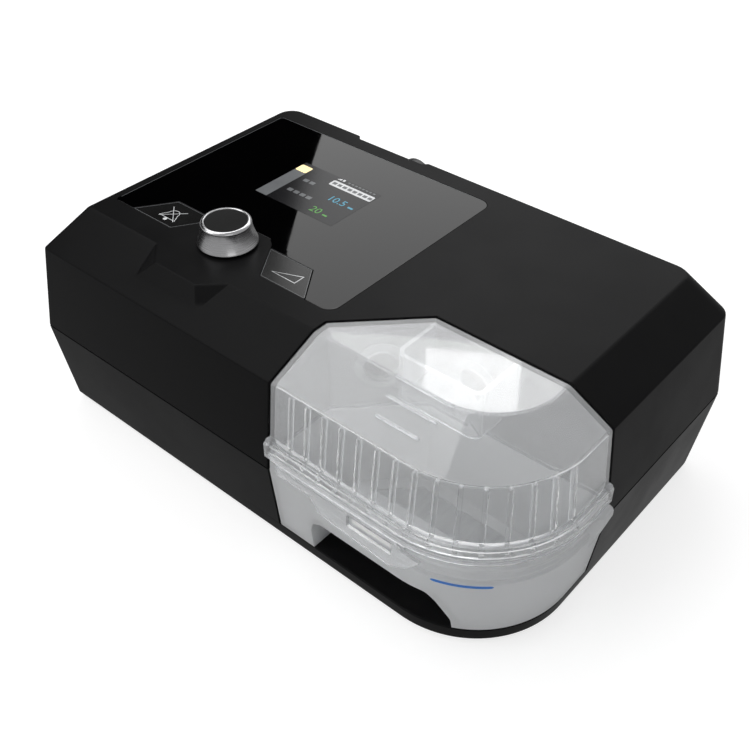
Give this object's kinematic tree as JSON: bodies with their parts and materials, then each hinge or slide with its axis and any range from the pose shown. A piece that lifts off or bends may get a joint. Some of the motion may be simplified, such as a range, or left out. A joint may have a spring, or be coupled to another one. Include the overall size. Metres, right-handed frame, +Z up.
{
  "type": "cpap machine",
  "caption": "Bedside positive airway pressure machine: black sloped case with a glass control panel, a metal dial, push buttons and a clear humidifier chamber at the front right corner.",
  "frame": {"origin": "middle of the whole outline seen from above, on the plane that the rubber feet stand on", "axes": "+X to the user's right along the width, +Y to the back, where the hose port is, +Z up"},
  "size_m": [0.2936, 0.202, 0.1209],
  "materials": {
    "case_plastic": "fine satin texture, nearly black",
    "panel_glass": "polished black",
    "dial_metal": "turned, satin, bright chamfered rim",
    "dial_cap": "polished black",
    "steel": "plated",
    "screen": "display",
    "grey_plastic": "moulded",
    "dark_plastic": "moulded",
    "board": "solder resist",
    "card_plastic": "moulded",
    "foam": "open-cell",
    "soft_rubber": "soft, semi-matte",
    "white_plastic": "moulded",
    "plate_metal": "satin",
    "copper_film": "etched foil",
    "frosted_clear": "translucent, lightly frosted",
    "clear_plastic": "clear, polished",
    "foot_rubber": "matte"
  },
  "bodies": {
    "case": {"base_shell": "case_plastic", "top_shell": "case_plastic", "glass_panel": "panel_glass", "encoder_body": "grey_plastic", "lcd_module": "screen", "lcd_frame": "grey_plastic", "ui_board": "board", "tact_switches": "dark_plastic", "ui_board_screws": "steel", "speaker": "dark_plastic", "main_board": "board", "board_parts": "dark_plastic", "main_board_screws": "steel", "coin_cell": "steel", "sd_socket": "steel", "dc_inlet": "dark_plastic", "filter_foam": "foam", "muffler_box": "grey_plastic", "muffler_cover": "grey_plastic", "muffler_foam": "foam", "blower_mounts": "soft_rubber", "blower_lower": "grey_plastic", "blower_upper": "grey_plastic", "blower_motor": "steel", "blower_sleeve": "soft_rubber", "inlet_seal": "soft_rubber", "outlet_seal": "soft_rubber", "outlet_duct": "grey_plastic", "flow_sensor": "board", "hose_port": "dark_plastic", "heater_plate": "plate_metal", "heater_film": "copper_film", "heater_pad": "foam", "heater_screws": "steel", "rubber_feet": "foot_rubber", "case_screws": "steel"},
    "mute_button": {"mute_button": "panel_glass"},
    "ramp_button": {"ramp_button": "panel_glass"},
    "dial_stem": {"encoder_shaft": "steel"},
    "dial": {"knob": "dial_metal", "knob_insert": "dial_cap"},
    "fan": {"impeller": "white_plastic"},
    "card": {"sd_card": "card_plastic"},
    "filter_door": {"filter_cover": "case_plastic"},
    "chamber": {"chamber_tub": "frosted_clear", "chamber_plate": "plate_metal", "latch_catch": "white_plastic"},
    "lid": {"chamber_lid": "clear_plastic", "lid_baffle": "clear_plastic", "latch_pin": "steel", "chamber_seal": "soft_rubber"},
    "latch": {"latch_flap": "clear_plastic"}
  },
  "joints": [
    {"name": "mute_press", "type": "slide", "parent": "case", "child": "mute_button", "axis": [0, 0, -1], "range_m": [0, 0.0005], "stiffness_N_per_m": 2000},
    {"name": "ramp_press", "type": "slide", "parent": "case", "child": "ramp_button", "axis": [0, 0, -1], "range_m": [0, 0.0005], "stiffness_N_per_m": 2000},
    {"name": "dial_press", "type": "slide", "parent": "case", "child": "dial_stem", "axis": [0, 0, -1], "range_m": [0, 0.0008], "stiffness_N_per_m": 3000},
    {"name": "dial_turn", "type": "hinge", "parent": "dial_stem", "child": "dial", "pos_m": [-0.06215, -0.0433, 0.1143], "axis": [0, 0, -1], "continuous": true},
    {"name": "fan_spin", "type": "hinge", "parent": "case", "child": "fan", "pos_m": [0.09305, 0.0363, 0.0822], "axis": [0, 0, 1], "continuous": true},
    {"name": "chamber_slide", "type": "slide", "parent": "case", "child": "chamber", "axis": [0, -1, 0], "range_m": [0, 0.09]},
    {"name": "lid_lift", "type": "slide", "parent": "chamber", "child": "lid", "axis": [0, 0, 1], "range_m": [0, 0.07]},
    {"name": "latch_swing", "type": "hinge", "parent": "lid", "child": "latch", "pos_m": [0.05655, -0.0997, 0.0582], "axis": [-1, 0, 0], "range_deg": [0, 35]},
    {"name": "filter_pull", "type": "slide", "parent": "case", "child": "filter_door", "axis": [0, 1, 0], "range_m": [0, 0.02]},
    {"name": "card_pull", "type": "slide", "parent": "case", "child": "card", "axis": [-1, 0, 0], "range_m": [0, 0.03]}
  ]
}
